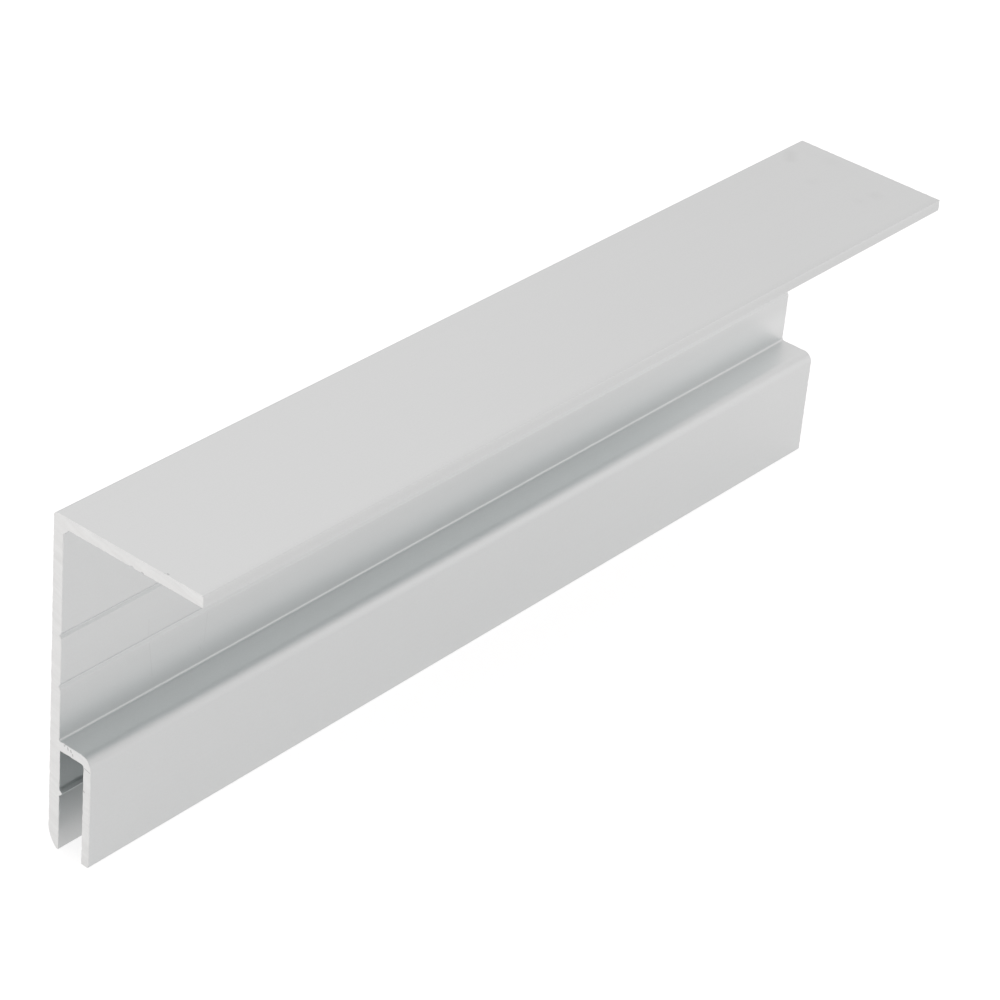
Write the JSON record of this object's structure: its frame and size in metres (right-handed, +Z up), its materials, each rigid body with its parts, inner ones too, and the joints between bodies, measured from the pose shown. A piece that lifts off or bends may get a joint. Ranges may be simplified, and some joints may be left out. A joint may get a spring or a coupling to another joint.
{
  "type": "stretch ceiling profile",
  "caption": "Length of extruded aluminium ceiling profile: a wall with a top flange to screw through, drill grooves, and a low slot, open downwards with a barb, that holds the sheet's edge.",
  "frame": {"origin": "on the floor under the middle of the part's box, at the level of the toe and the lip that it stands on", "axes": "+X from the back of the wall towards the flange's free edge, +Y along the length, +Z up from the slot's mouth to the flange"},
  "size_m": [0.03, 0.18, 0.06],
  "materials": {
    "aluminium": "satin, silver anodised, with faint lines drawn along the length and plain saw cuts at both ends"
  },
  "bodies": {
    "root": {"ceiling_profile": "aluminium"}
  },
  "joints": []
}
